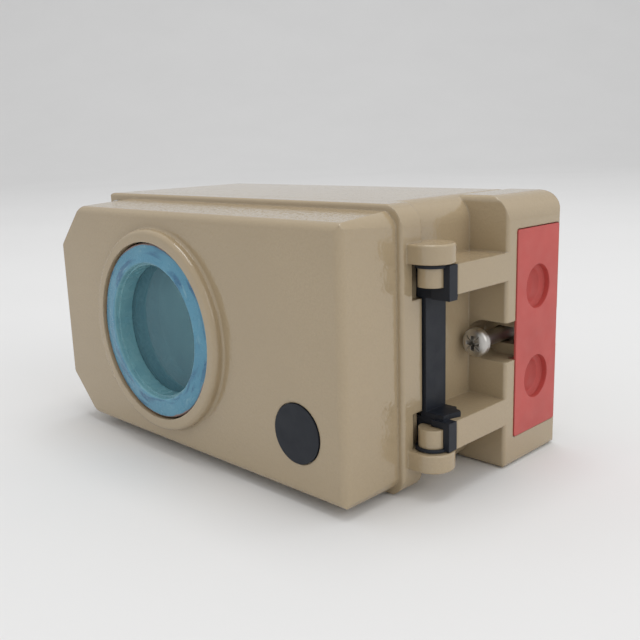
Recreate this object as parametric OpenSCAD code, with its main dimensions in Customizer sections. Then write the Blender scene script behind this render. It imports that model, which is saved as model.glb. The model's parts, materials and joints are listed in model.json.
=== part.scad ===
// Electropneumatic valve positioner in a die-cast case.
// It lies on its long side: the cover faces -Y, the hinge end points to +X and the far end to -X.

/* [Housing] */
// Length of the housing, which is also the length of the cover's flange
housing_l = 155; // [145:1:185]
// Width of the housing, which is its height as it lies
housing_w = 90; // [84:1:110]
// Depth from the cover joint to the outside of the back wall
housing_d = 61.6; // [58:0.1:80]
// Thickness of the side walls
wall_t = 4.5; // [3.5:0.1:6]
// Thickness of the back wall
back_t = 6; // [5:0.1:8]
// Rounding of the long edges at the hinge end
corner_r = 8; // [5:0.5:10]
// Rounding of the long edges at the far end
far_r = 3; // [2:0.5:5]
// Rounding of the rear edges
rear_r = 4; // [3:0.5:8]
// Distance of the end wall behind the flange's end
end_recess = 3.8; // [3.6:0.1:5]
// Distance that the end block stands out past the flange's end
block_proud = 10.6; // [10:0.1:14]
// Depth of the end block, forward from the outside of the back wall
block_d = 31.4; // [30:0.1:36]
// Rounding of the end block's upright edges
block_r = 1.2; // [1:0.1:3]
// Rounding of the end block's front and rear edges
step_r = 2; // [1:0.5:5]
// Rounding of the end block's lower edge at its end face
block_low_r = 2.2; // [1:0.1:5]
// Height of the mounting pads on the back
pad_h = 1.5; // [0.5:0.1:3]

/* [Cover] */
// Depth of the cover from its front face to its flange
cover_d = 23.2; // [21:0.1:30]
// Thickness of the cover's flange
flange_t = 9.3; // [8:0.1:12]
// Distance of the front face's long edges inside the flange
cover_side_in = 3.4; // [2.6:0.1:6]
// Distance of the front face's hinge end inside the flange
cover_end_in = 2.5; // [1.5:0.1:6]
// Distance of the front face's far end inside the flange
cover_far_in = 1; // [0.8:0.1:4]
// Growth of the cover's long sides from the front face to the flange
draft = 1.5; // [0.5:0.1:1.8]
// Growth of the cover's ends from the front face to the flange
draft_end = 0.5; // [0.2:0.1:0.6]
// Size of the corner chamfers at the far end
cover_chamfer = 14.8; // [13:0.1:17]
// Rounding of the cover's front edges
cover_edge_r = 2.6; // [1:0.1:3]
// Rounding of the cover's corners at the hinge end
cover_corner_r = 6; // [3:0.5:8]
// Thickness of the cover's front wall
cover_wall = 3.5; // [2.5:0.1:5]
// Width of the cover gasket
gasket_w = 2.2; // [1.6:0.1:2.6]
// Depth of the cover gasket
gasket_d = 2; // [1.5:0.1:3]
// Distance of the cover screws from the flange's two edges
cover_screw_in = 6.5; // [6:0.1:7]

/* [Hinge] */
// Distance of the hinge axis outside the flange's end
hinge_out = 4; // [3.8:0.1:4.6]
// Radius of the cover's hinge lugs
lug_r = 7; // [6:0.1:7.2]
// Height of each hinge lug
lug_h = 5.9; // [4:0.1:8]
// Radius of the cover's hinge pins
hinge_pin_r = 4.4; // [4:0.1:4.6]
// Radial running clearance of pins and shafts
run_gap = 0.06; // [0.02:0.01:0.1]
// Clear height between the two arms
arm_span = 39; // [34:0.1:46]
// Height of each arm
arm_h = 9; // [8:0.1:12]
// Distance of the hinge's middle below the middle of the housing
hinge_drop = 1.1; // [0:0.1:2]
// Width of the strip that joins the two clips
strip_w = 10; // [8:0.1:11]
// Thickness of the strip
strip_t = 2; // [1.5:0.1:2.4]
// Distance of the strip's outer face inside the hinge axis
strip_in = 2.8; // [2.6:0.1:3]
// Thickness of the feet that lie on the arms
foot_t = 1.6; // [1.2:0.1:2.5]

/* [Window] */
// Distance of the window's centre from the far end
window_x = 64.4; // [60:0.1:72]
// Radius of the raised bezel
bezel_r = 35.7; // [35:0.1:37]
// Height of the bezel above the front face
bezel_h = 3.6; // [2.6:0.1:4]
// Rounding of the bezel's outer edge
bezel_edge_r = 1.6; // [1:0.1:2]
// Radius of the hole in the bezel
window_r = 31.5; // [29:0.1:32]
// Radial gap between the bezel and the window ring
ring_gap = 0.5; // [0.3:0.1:0.8]
// Inner radius of the window ring
ring_in_r = 24; // [22:0.1:25]
// Thickness of the window ring
ring_t = 7.2; // [6:0.1:8.4]
// Thickness of the window glass
glass_t = 3; // [2:0.1:4]
// Thickness of the seal under the glass
window_seal_t = 2; // [1:0.1:2.5]
// Width of the ledge that the seal lies on
ledge_w = 6; // [4:0.1:7]

/* [Badge] */
// Distance of the badge from the flange's hinge end
badge_from_end = 21.9; // [18:0.1:30]
// Height of the badge above the lower side
badge_z = 22.9; // [20:0.1:60]
// Radius of the badge
badge_r = 9.4; // [7:0.1:12]
// Thickness of the badge
badge_t = 1.2; // [0.8:0.1:2]
// Depth of the badge's seat
badge_seat = 0.8; // [0.4:0.1:1]

/* [Air ports] */
// Distance between the two air ports
port_pitch = 31; // [28:0.1:36]
// Radius of the air ports
port_r = 5.9; // [5:0.1:7]
// Depth of the air ports
port_depth = 13; // [12:0.1:13.5]
// Height of the port cover
port_cover_h = 69; // [64:0.5:72]
// Thickness of the port cover
port_cover_t = 3; // [2.4:0.1:4]
// Distance that the port cover stands out of its seat
port_cover_proud = 0.3; // [0.2:0.1:2]
// Radius of the dishes in the port cover
dish_r = 7.4; // [6:0.1:8]
// Depth of the dishes
dish_d = 2; // [1:0.1:2]
// Distance from the end block's front edge to the port cover
port_cover_from_step = 5.5; // [5:0.1:8]
// Length of the plugs on the port cover
plug_l = 8; // [5:0.5:10]

/* [Fixing screws] */
// Radius of the fixing screws' shanks
fix_r = 2.5; // [2:0.1:3]
// Radius of the fixing screws' heads
fix_head_r = 4.75; // [4:0.05:5]
// Height of the fixing screws' heads
fix_head_h = 3.7; // [3:0.1:4]
// Length of the fixing screws' shanks
fix_l = 32; // [28:0.5:32]
// Distance that a fixing screw can travel in
fix_travel = 13; // [10:0.5:13]
// Thickness of the ledge that holds the screws captive
fix_ledge = 5; // [4:0.5:6]
// Half the height of the screw notch
notch_r = 6.5; // [5.2:0.1:6.8]
// Distance of the screw's axis inside the end block's end face
fix_in = 8.6; // [8:0.1:9]
// Distance of the other screw's axis from the far end
fix_far = 13; // [12:0.5:14]

/* [Feedback lever] */
// Gap between the travel sensor and the booster
sensor_gap = 3.7; // [1:0.1:8]
// Radius of the feedback shaft
shaft_r = 4; // [3:0.1:5]
// Reach of the lever from the shaft's axis
lever_l = 66; // [60:1:68]
// Thickness of the lever
lever_t = 2.5; // [2:0.1:4]
// Half the width of the lever at its hub
lever_hub_r = 9; // [8:0.5:11]
// Half the width of the lever at its tip
lever_tip_r = 6; // [5:0.5:7]
// Distance of the lever behind the back wall
lever_gap = 4.2; // [4:0.1:8]
// Distance of the follower pin from the shaft
follower_at = 50; // [35:1:52]
// Radius of the follower pin
follower_r = 4; // [3:0.1:5]
// Length of the follower pin behind the lever
follower_l = 20; // [15:0.5:30]

/* [Cable entries] */
// Tapped radius of the cable entries
entry_r = 9.25; // [9:0.05:9.5]
// Distance of the open entry from the far end
entry_x = 52; // [50:0.5:56]
// Distance between the two entries
entry_pitch = 32; // [30:0.5:34]
// Distance of the entries behind the cover joint
entry_y = 28; // [26:0.5:30]
// Length of the entries' tapped wall
entry_l = 10; // [8:0.5:12]

/* [Instrument panel] */
// Distance of the panel's front behind the cover's front face
panel_y = 14; // [13.8:0.1:16]
// Thickness of the panel
panel_t = 2.2; // [1.8:0.1:3]
// Distance of the terminal block from the panel's edge
terminal_in = 3; // [2.6:0.1:6]
// Distance of the panel from the end wall
panel_from_wall = 9.2; // [9:0.1:12]
// Distance of the panel from the long sides
panel_from_side = 10; // [9.5:0.5:12]
// Distance of the circuit board behind the panel's front
board_in = 10; // [9.5:0.1:12]
// Length of the display module
display_l = 50; // [40:1:52]
// Width of the display module
display_w = 36; // [28:1:40]
// Radius of the rotary push-button
knob_r = 8; // [6:0.5:8.5]
// Distance of the rotary push-button from the panel's edge
controls_in = 25; // [24:0.5:26]
// Distance of the key and the restrictor from the panel's edge
keys_in = 10; // [9.5:0.1:11]
// Height of the rotary push-button
knob_h = 7.4; // [6:0.1:7.6]
// Travel of the rotary push-button
knob_travel = 0.8; // [0.5:0.1:1]

/* [Hidden] */
$fn = 64;
cut = 1;
skin_gap = 0.3;
seat_gap = 0.02;
plug_gap = 0.1;

// Planes along the depth, from the cover's front face
part_y = cover_d + flange_t;
back_y = part_y + housing_d;
floor_y = back_y - back_t;
pad_y = back_y + pad_h;
block_y = back_y - block_d;

// Planes along the length and across the width
wall_x = housing_l - end_recess;
block_x = housing_l + block_proud;
cavity_x = wall_x - wall_t;
mid_z = housing_w / 2;
rim_r = 2;
cavity_r = 5;

// Hinge
hinge_x = housing_l + hinge_out;
hinge_y = part_y;
arm_low = arm_span / 2;
arm_high = arm_low + arm_h;
lug_low = arm_high + skin_gap;
lug_edge_r = 0.6;
clip_front = 0.6;
clip_back = 3.3;
clip_wall = 0.9;
clip_r = hinge_pin_r + clip_wall;
clip_floor = 2;
collar_h = 0.9;
relief_gap = 0.7;
arm_y = hinge_y + clip_back;
pin_end = arm_low + clip_floor + skin_gap;
arm_edge_r = 1;
strip_x = hinge_x - strip_in;
strip_y = hinge_y + 0.5;
foot_in = 2.8;
foot_x = block_x - foot_in;
barb = 1.3;
peg_r = 1.4;
peg_h = 2;
peg_wall = 0.8;
peg_y = hinge_y + clip_r + peg_r + peg_wall;

// Cover
corner_line = cover_far_in + cover_side_in + cover_chamfer;
screw_wall = 1;
screw_corner = corner_line + screw_wall;
shell_past = 5;
shell_reach = cover_d + shell_past;
gasket_in = 1.2;
flange_r = corner_r - 1;
flange_edge_r = 1.2;
cover_cavity_in = 7;
cover_cavity_r = 4;
cover_screw_r = 1.65;
cover_screw_hole = 2.05;
cover_screw_head_r = 3.8;
cover_screw_head_h = 2.6;
cover_screw_reach = 5;

// Window, from the bezel's front face inwards
ring_y = -bezel_h + 0.1;
glass_y = ring_y + ring_t;
window_seal_y = glass_y + glass_t;
ledge_y = window_seal_y + window_seal_t;
ledge_t = 2.4;
ring_lip = 0.7;
ring_step = 2;
ring_fall = 0.9;
ring_edge_r = 0.8;
bezel_fillet = 0.8;
boss_r = window_r + 2.5;
boss_y = ledge_y + ledge_t;

// Ports and fixing screws
port_cover_r = 0.8;
port_cover_edge = 1.6;
port_drop = 1.2;
port_z = mid_z - port_drop;
port_cover_drop = 0.4;
port_cover_z = mid_z - port_cover_drop;
port_cover_y = block_y + port_cover_from_step;
port_cover_w = pad_y - port_cover_edge - port_cover_y;
port_y = port_cover_y + port_cover_w / 2;
passage_r = 2;
port_seat_x = block_x + port_cover_proud - port_cover_t;
fix_x = block_x - fix_in;
fix_head_rest = 2.7;
fix_drop = 1.8;
fix_z = mid_z - fix_drop;
fix_seat_y = block_y - fix_head_rest;
ledge_front = fix_seat_y + fix_travel;
ledge_back = ledge_front + fix_ledge;
fix_hole = fix_r + 0.4;
fix_groove = 0.5;
column_wall = 2.5;
ring_clip_t = 1.2;
ring_clip_wall = 2;
ring_clip_r = fix_r + ring_clip_wall;

// Back and feedback shaft
booster_l = 34;
booster_x = cavity_x - booster_l;
lever_y = back_y + lever_gap;
shaft_out = 6;
shaft_end = lever_y + lever_t + shaft_out;
nut_h = 4.5;
bush_wall = 2;
bush_r = shaft_r + bush_wall;
sensor_wall = 9;
sensor_r = shaft_r + sensor_wall;
shaft_x = booster_x - sensor_gap - sensor_r;
sensor_d = 14;
sensor_floor = 3;
bush_flange = 1.8;
bush_flange_r = bush_r + 2;
shaft_seal_r = bush_r - 0.6;
shaft_seal_l = 2;
follower_stem_r = 0.6 * follower_r;
follower_nut_h = 2.7;
follower_end = 0.7;
far_pad_x = 5;
far_pad_l = 20;
far_pad_h = 40;
pad_r = 4;
vent_r = 7.5;
vent_d = 2.5;
vent_hole_r = 3;
vent_slot = [9, 1.6, 1.4];
vent_pitch = 3.6;
vent_in = 40;
vent_drop = 24;
vent_x = block_x - vent_in;
vent_z = mid_z - vent_drop;
entry_wall = 3.5;
plug_head = 4;
plug_head_r = entry_r + 2.2;
plug_key_r = 5;
plug_seal_t = 1;

// Panel and what stands behind it
display_x = window_x;
terminal_l = 12;
terminal_gap = 2.4;
terminal_x = display_x - display_l / 2 - terminal_gap - terminal_l;
panel_x0 = terminal_x - terminal_in;
panel_x1 = wall_x - panel_from_wall;
panel_z0 = panel_from_side;
panel_z1 = housing_w - panel_from_side;
panel_wall = 2;
panel_r = 4;
skirt_d = 22;
skirt_y = panel_y + skirt_d;
post_back = 5.5;
post_y = part_y + post_back;
post_in = 6;
post_r = 5;
pillar_r = 3.6;
panel_screw_r = 1.45;
panel_screw_hole = 1.65;
panel_screw_reach = 8;
panel_head_r = 2.8;
panel_head_h = 2;
board_y = panel_y + board_in;
board_t = 1.6;
display_proud = 1;
display_y = panel_y - display_proud;
display_glass_t = 1.1;
display_rim = 3;
display_r = 1.5;
display_sunk = 0.2;
controls_x = panel_x1 - controls_in;
keys_x = panel_x1 - keys_in;
upper_row = 15;
lower_row = 11;
upper_z = mid_z + upper_row;
lower_z = mid_z - lower_row;
terminal_w = 42;
terminal_proud = 1.5;
terminal_y = panel_y - terminal_proud;
terminal_pitch = 6.6;
terminal_count = 6;
terminal_off = 1.5;
terminal_screw_x = terminal_x + terminal_l / 2 + terminal_off;
terminal_screw_r = 2;
terminal_sunk = 1.5;
terminal_screw_y = terminal_y + terminal_sunk;
terminal_well_d = 5;
terminal_well = terminal_y + terminal_well_d;
wire_hole = [4, 3, 3];
wire_in = 4;
wire_y = terminal_y + wire_in;
encoder_s = 13;
encoder_h = 6;
encoder_floor = 0.5;
sleeve_r = 4.5;
knob_shaft_r = 3;
knob_y = panel_y - 1.4 - knob_h;
knob_cap = 2;
knob_dish_d = 0.8;
knob_grips = 8;
grip_at = knob_r + 0.6;
grip_r = 0.24 * knob_r;
stem_end = board_y - encoder_floor - knob_travel - skin_gap;
key_r = 2.5;
key_travel = 0.6;
key_sunk = 0.4;
key_switch_s = 6.4;
key_switch_h = 3;
key_play = 0.2;
switch_travel = 5;
switch_l = 18;
switch_w = 8;
slider_l = 8;
slider_w = 6;
handle_s = 4;
handle_h = 1.5;
switch_y = panel_y + panel_t + 2.2;
restrictor_r = 5.5;
restrictor_h = 0.6;
restrictor_slot = 1.2;
stem_r = 2.5;
stem_in = 6;
booster_w = 42;
booster_r = 1;
booster_in = 21;
booster_y = part_y + booster_in;
passage_l = 8;
module_l = 30;
module_w = 36;
module_x = 36;
module_in = 26;
module_y = part_y + module_in;
module_r = 2;
capsule_r = 0.36 * module_l;
capsule_h = 8;

// Frame: the middle of the whole, on the surface that it lies on
reach_x = max(block_x + port_cover_proud, hinge_x + lug_r);
front_y = -bezel_h;
rear_y = max(shaft_end, lever_y + lever_t + follower_l);
frame_x = reach_x / 2;
frame_y = (front_y + rear_y) / 2;

// Colours
paint = [0.62, 0.57, 0.49];
black = [0.14, 0.15, 0.17];
red = [0.72, 0.33, 0.31];
pale_blue = [0.45, 0.64, 0.70];
steel = [0.72, 0.72, 0.70];
brass = [0.72, 0.60, 0.34];
grey = [0.36, 0.37, 0.39];
green = [0.10, 0.36, 0.22];
rubber = [0.10, 0.10, 0.10];

// Outlines with rounded corners: corner points in order, with one radius for each
function unit(v) = v / norm(v);
function half_tan(u, v) = sqrt((1 - u * v) / (1 + u * v));
function fillet_ends(a, b, c, r) =
    let (u = unit(a - b), v = unit(c - b), t = r / half_tan(u, v))
    r == 0 ? [b] : [b + u * t, b + v * t];
function fillet_centre(a, b, c, r) =
    let (u = unit(a - b), v = unit(c - b), h = half_tan(u, v))
    b + unit(u + v) * r * sqrt(1 + 1 / (h * h));

module round_poly(p, r) {
    n = len(p);
    polygon([for (i = [0:n - 1]) each fillet_ends(p[(i + n - 1) % n], p[i], p[(i + 1) % n], r[i])]);
    for (i = [0:n - 1])
        if (r[i] > 0)
            translate(fillet_centre(p[(i + n - 1) % n], p[i], p[(i + 1) % n], r[i])) circle(r = r[i]);
}

// Rectangle between two corners, with the same rounding at each corner
module round_rect(low, high, r)
    round_poly([low, [high[0], low[1]], high, [low[0], high[1]]], [r, r, r, r]);

// Prisms along each axis: an outline in XZ, YZ or XY
module along_y(y0, y1) translate([0, y1, 0]) rotate([90, 0, 0]) linear_extrude(y1 - y0) children();
module along_x(x0, x1) translate([x0, 0, 0]) rotate([90, 0, 90]) linear_extrude(x1 - x0) children();
module along_z(z0, z1) translate([0, 0, z0]) linear_extrude(z1 - z0) children();

// Round bar along the depth, at a place in XZ
module bar_y(x, z, r, y0, y1) translate([x, y0, z]) rotate([-90, 0, 0]) cylinder(r = r, h = y1 - y0);

// Ring along the depth
module tube_y(x, z, r_out, r_in, y0, y1)
    difference() {
        bar_y(x, z, r_out, y0, y1);
        bar_y(x, z, r_in, y0 - cut, y1 + cut);
    }

// Rim outline that lies a distance inside the joint's outline and cuts the screw corners off
function rim_cut(d) = screw_corner + d * sqrt(2);
function rim(d) = [
    [rim_cut(d) - d, d], [wall_x - d, d], [wall_x - d, housing_w - d],
    [rim_cut(d) - d, housing_w - d], [d, housing_w - rim_cut(d) + d], [d, rim_cut(d) - d]];
module rim_shape(d, r) round_poly(rim(d), [rim_r, r, r, rim_r, rim_r, rim_r]);

// The whole part is placed in its frame here
module in_frame() translate([-frame_x, -frame_y, 0]) children();

// Mirror image of the upper half below the middle plane
module mirrored() translate([0, 0, housing_w]) mirror([0, 0, 1]) children();

module both_sides() {
    children();
    mirrored() children();
}

// The same about the middle of the hinge
module at_hinge() translate([0, 0, -hinge_drop]) both_sides() children();

// Pan-head screw along the depth, its head in front of y, with a cross recess
module pan_screw(x, z, y, r, l, head_r, head_h) {
    recess = 0.22 * head_r;
    difference() {
        union() {
            bar_y(x, z, r, y - cut, y + l);
            intersection() {
                bar_y(x, z, head_r, y - head_h, y);
                translate([x, y - head_h + 2 * head_r, z]) sphere(r = 2 * head_r);
            }
        }
        for (turn = [0, 90])
            translate([x, y - head_h, z]) rotate([0, turn, 0])
                cube([1.1 * head_r, head_h, recess], center = true);
    }
}

// Housing

// Block at the hinge end; its rear face is a mounting pad
module end_block()
    intersection() {
        along_y(block_y - cut, pad_y + cut)
            round_poly([[cavity_x, 0], [block_x, 0], [block_x, housing_w], [cavity_x, housing_w]],
                [0, block_low_r, corner_r, 0]);
        along_x(cavity_x - cut, block_x + cut)
            round_poly([[block_y, 0], [pad_y, 0], [pad_y, housing_w], [block_y, housing_w]],
                [step_r, step_r, step_r, step_r]);
        along_z(-cut, housing_w + cut)
            round_poly([[cavity_x - cut, block_y], [block_x, block_y], [block_x, pad_y],
                [cavity_x - cut, pad_y]], [0, block_r, block_r, 0]);
    }

module casting() {
    intersection() {
        along_y(part_y, back_y + cut)
            round_poly([[0, 0], [wall_x, 0], [wall_x, housing_w], [0, housing_w]],
                [far_r, corner_r, corner_r, far_r]);
        along_x(-cut, wall_x + cut)
            round_poly([[part_y - cut, 0], [back_y, 0], [back_y, housing_w], [part_y - cut, housing_w]],
                [0, rear_r, rear_r, 0]);
        along_z(-cut, housing_w + cut)
            round_poly([[0, part_y - cut], [wall_x + cut, part_y - cut], [wall_x + cut, back_y],
                [0, back_y]], [0, 0, 0, rear_r]);
    }
    end_block();
}

module hinge_arm()
    difference() {
        along_z(mid_z + arm_low, mid_z + arm_high)
            round_poly([[cavity_x + cut, arm_y], [block_x, arm_y], [block_x, block_y + block_r],
                [cavity_x + cut, block_y + block_r]], [0, arm_edge_r, 0, 0]);
        translate([hinge_x, peg_y, mid_z + arm_low - cut])
            cylinder(r = peg_r + seat_gap, h = peg_h + cut + skin_gap);
        translate([hinge_x, hinge_y, mid_z + arm_low - cut])
            cylinder(r = clip_r + seat_gap, h = arm_h + 2 * cut);
    }

module far_pad()
    along_y(back_y - cut, pad_y)
        round_rect([far_pad_x, mid_z - far_pad_h / 2],
            [far_pad_x + far_pad_l, mid_z + far_pad_h / 2], pad_r);

module panel_posts()
    for (x = [panel_x0 + post_in, panel_x1 - post_in], z = [panel_z0 + post_in, panel_z1 - post_in])
        bar_y(x, z, post_r, post_y, floor_y + cut);

module fixing_column() bar_y(fix_far, fix_z, notch_r + column_wall, ledge_front, floor_y + cut);

module entry_bosses()
    for (x = [entry_x, entry_x + entry_pitch])
        translate([x, part_y + entry_y, wall_t - cut])
            cylinder(r = entry_r + entry_wall, h = entry_l - wall_t + cut);

module entry_holes() {
    for (x = [entry_x, entry_x + entry_pitch])
        translate([x, part_y + entry_y, -cut]) cylinder(r = entry_r, h = entry_l + 2 * cut);
    translate([entry_x + entry_pitch, part_y + entry_y, -cut])
        cylinder(r = plug_head_r + skin_gap, h = plug_head + cut);
}

// Notch for the captive screw: wide for its head and its ring, narrow through the ledge between
module screw_notch() {
    for (span = [[block_y - cut, ledge_front, notch_r], [ledge_front - cut, ledge_back + cut, fix_hole],
            [ledge_back, pad_y + cut, notch_r]])
        along_y(span[0], span[1]) {
            translate([fix_x, fix_z]) circle(r = span[2]);
            translate([fix_x, fix_z - span[2]]) square([fix_in + cut, 2 * span[2]]);
        }
}

module far_screw_hole() {
    bar_y(fix_far, fix_z, fix_hole, ledge_front - cut, ledge_back + cut);
    bar_y(fix_far, fix_z, notch_r, ledge_back, pad_y + cut);
}

module air_ports()
    for (side = [-1, 1])
        translate([0, port_y, port_z + side * port_pitch / 2]) rotate([0, 90, 0]) {
            translate([0, 0, block_x - port_depth]) cylinder(r = port_r, h = port_depth + cut);
            translate([0, 0, cavity_x - cut]) cylinder(r = passage_r, h = block_x - cavity_x);
        }

module port_cover_seat()
    along_x(port_seat_x, block_x + cut)
        round_rect([port_cover_y - skin_gap, port_cover_z - port_cover_h / 2 - skin_gap],
            [port_cover_y + port_cover_w + skin_gap, port_cover_z + port_cover_h / 2 + skin_gap],
            port_cover_r);

module back_holes() {
    bar_y(shaft_x, mid_z, bush_r + seat_gap, floor_y - cut, back_y + cut);
    bar_y(vent_x, vent_z, vent_r, back_y - vent_d, back_y + cut);
    bar_y(vent_x, vent_z, vent_hole_r, floor_y - cut, back_y);
}

module housing()
    color(paint) in_frame()
        difference() {
            union() {
                difference() {
                    casting();
                    along_y(part_y - cut, floor_y) rim_shape(wall_t, cavity_r);
                }
                at_hinge() hinge_arm();
                far_pad();
                panel_posts();
                fixing_column();
                entry_bosses();
            }
            entry_holes();
            screw_notch();
            far_screw_hole();
            air_ports();
            port_cover_seat();
            back_holes();
            both_sides()
                bar_y(cover_screw_in, cover_screw_in, cover_screw_hole, part_y - cut,
                    part_y + cover_screw_reach + cut);
            for (x = [panel_x0 + post_in, panel_x1 - post_in], z = [panel_z0 + post_in, panel_z1 - post_in])
                bar_y(x, z, panel_screw_r + seat_gap, post_y - cut, post_y + panel_screw_reach + cut);
        }

// Cover

// Growth of a drafted side at the depth that the shell's outlines reach to
function grown(d) = d * shell_reach / cover_d;
module cover_shell() {
    low = cover_side_in - grown(draft);
    top = housing_w - low;
    far = cover_far_in - grown(draft_end);
    end = housing_l - cover_end_in + grown(draft_end);
    intersection() {
        along_y(0, cover_d + cut)
            round_poly([[corner_line - low, low], [end, low], [end, top], [corner_line - low, top],
                [far, housing_w - corner_line + far], [far, corner_line - far]],
                [rim_r, cover_corner_r, cover_corner_r, rim_r, rim_r, rim_r]);
        along_z(-cut, housing_w + cut)
            round_poly([[cover_far_in, 0], [housing_l - cover_end_in, 0], [end, shell_reach],
                [far, shell_reach]], [cover_edge_r, cover_edge_r, 0, 0]);
        along_x(-cut, housing_l + cut)
            round_poly([[0, cover_side_in], [shell_reach, low], [shell_reach, top],
                [0, housing_w - cover_side_in]], [cover_edge_r, 0, 0, cover_edge_r]);
    }
}

module cover_flange()
    intersection() {
        along_y(cover_d - cut, part_y)
            round_poly([[0, 0], [housing_l, 0], [housing_l, housing_w], [0, housing_w]],
                [far_r, flange_r, flange_r, far_r]);
        along_x(-cut, housing_l + cut)
            round_poly([[cover_d, 0], [part_y + cut, 0], [part_y + cut, housing_w], [cover_d, housing_w]],
                [flange_edge_r, 0, 0, flange_edge_r]);
        along_z(-cut, housing_w + cut)
            round_poly([[0, cover_d], [housing_l, cover_d], [housing_l, part_y + cut], [0, part_y + cut]],
                [flange_edge_r, flange_edge_r, 0, 0]);
    }

// Hinge lug with its pin, which points to the middle of the part
module hinge_lug() {
    translate([hinge_x, hinge_y, mid_z + lug_low])
        rotate_extrude()
            round_poly([[0, 0], [lug_r, 0], [lug_r, lug_h], [0, lug_h]], [0, lug_edge_r, lug_edge_r, 0]);
    along_x(housing_l - cut, hinge_x)
        translate([0, mid_z + lug_low])
            round_poly([[hinge_y - lug_r, 0], [hinge_y, 0], [hinge_y, lug_h], [hinge_y - lug_r, lug_h]],
                [lug_edge_r, 0, 0, lug_edge_r]);
    translate([hinge_x, hinge_y, mid_z + pin_end])
        cylinder(r = hinge_pin_r, h = lug_low + cut - pin_end);
}

// Round space in the flange for a clip
module clip_relief()
    translate([hinge_x, hinge_y, mid_z + arm_low - foot_t - skin_gap])
        cylinder(r = clip_r + relief_gap, h = arm_h + foot_t + 2 * skin_gap);

// Bezel round the window: rounded at its top edge, with a fillet where it meets the front face
module bezel()
    translate([window_x, cut, mid_z]) rotate([90, 0, 0])
        rotate_extrude() {
            round_poly([[window_r - cut, 0], [bezel_r, 0], [bezel_r, bezel_h + cut],
                [window_r - cut, bezel_h + cut]], [0, 0, bezel_edge_r, 0]);
            difference() {
                translate([bezel_r - cut, 0]) square([cut + bezel_fillet, cut + bezel_fillet]);
                translate([bezel_r + bezel_fillet, cut + bezel_fillet]) circle(r = bezel_fillet);
            }
        }

module cover()
    color(paint) in_frame()
        difference() {
            union() {
                difference() {
                    union() {
                        cover_shell();
                        cover_flange();
                    }
                    along_y(cover_wall, part_y + cut) rim_shape(cover_cavity_in, cover_cavity_r);
                    at_hinge() clip_relief();
                }
                at_hinge() hinge_lug();
                bezel();
                bar_y(window_x, mid_z, boss_r, 0, boss_y);
            }
            bar_y(window_x, mid_z, window_r, -bezel_h - cut, ledge_y);
            bar_y(window_x, mid_z, window_r - ledge_w, ledge_y - cut, boss_y + cut);
            bar_y(housing_l - badge_from_end, badge_z, badge_r + skin_gap, -cut, badge_seat);
            along_y(part_y - gasket_d, part_y + cut) gasket_shape();
            both_sides()
                bar_y(cover_screw_in, cover_screw_in, cover_screw_hole, cover_d - cut, part_y + cut);
        }

module gasket_shape()
    difference() {
        rim_shape(gasket_in, cavity_r);
        rim_shape(gasket_in + gasket_w, cavity_r);
    }

module cover_gasket() color(rubber) in_frame() along_y(part_y - gasket_d, part_y) gasket_shape();

module cover_screws()
    color(steel) in_frame()
        both_sides()
            pan_screw(cover_screw_in, cover_screw_in, cover_d, cover_screw_r, flange_t + cover_screw_reach,
                cover_screw_head_r, cover_screw_head_h);

// Ring that holds the glass: its face falls outwards, and its bore has a step
module window_ring()
    color(pale_blue) in_frame()
        translate([window_x, glass_y, mid_z]) rotate([90, 0, 0])
            rotate_extrude()
                round_poly([[ring_in_r - ring_lip, 0], [window_r - ring_gap, 0],
                    [window_r - ring_gap, ring_t - ring_fall], [ring_in_r, ring_t],
                    [ring_in_r, ring_t - ring_step], [ring_in_r - ring_lip, ring_t - ring_step]],
                    [0, 0, ring_edge_r, ring_edge_r, 0, 0]);

module window_glass()
    color([0.75, 0.85, 0.88, 0.35]) in_frame()
        bar_y(window_x, mid_z, window_r - ring_gap, glass_y, window_seal_y);

module window_seal()
    color(rubber) in_frame()
        tube_y(window_x, mid_z, window_r - ring_gap, window_r - ledge_w, window_seal_y, ledge_y);

module badge()
    color(black) in_frame()
        bar_y(housing_l - badge_from_end, badge_z, badge_r, badge_seat - badge_t, badge_seat);

// Hinge bar: two clips that hold the cover's pins, joined by a strip

// Clip round the rear half of a hinge pin, seated in the arm, with a collar at the lug.
// It goes past the arm's inner face by the distance given.
module hinge_clip(past)
    difference() {
        clip_body(past);
        translate([hinge_x, hinge_y, mid_z + arm_low + clip_floor])
            cylinder(r = hinge_pin_r + run_gap, h = arm_h);
    }

module clip_body(past) {
    along_z(mid_z + arm_low - past, mid_z + arm_high) {
        difference() {
            translate([hinge_x, hinge_y]) circle(r = clip_r);
            translate([hinge_x - 2 * clip_r, hinge_y + skin_gap - 4 * clip_r])
                square([4 * clip_r, 4 * clip_r]);
        }
        translate([hinge_x, hinge_y - clip_front])
            square([block_x - hinge_x, clip_front + clip_back]);
        translate([wall_x + skin_gap, hinge_y + skin_gap])
            square([block_x - wall_x - skin_gap, clip_back - skin_gap]);
    }
    translate([hinge_x, hinge_y, mid_z + arm_high - collar_h]) cylinder(r = clip_r, h = collar_h);
}

// Foot of a clip on its arm, with a slanted edge and a peg that holds it
module clip_foot() {
    along_z(mid_z + arm_low - foot_t, mid_z + arm_low)
        polygon([[strip_x - strip_t, strip_y], [foot_x, strip_y], [foot_x, peg_y],
            [hinge_x + peg_r, strip_y + strip_w], [strip_x - strip_t, strip_y + strip_w]]);
    translate([hinge_x, peg_y, mid_z + arm_low - cut]) cylinder(r = peg_r, h = peg_h + cut);
}

// Barb on a foot's edge
module foot_barb()
    along_z(mid_z + arm_low - foot_t, mid_z + arm_low)
        polygon([[hinge_x, arm_y], [foot_x, arm_y], [foot_x + barb, peg_y], [foot_x, peg_y + barb],
            [hinge_x, peg_y + barb]]);

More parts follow.
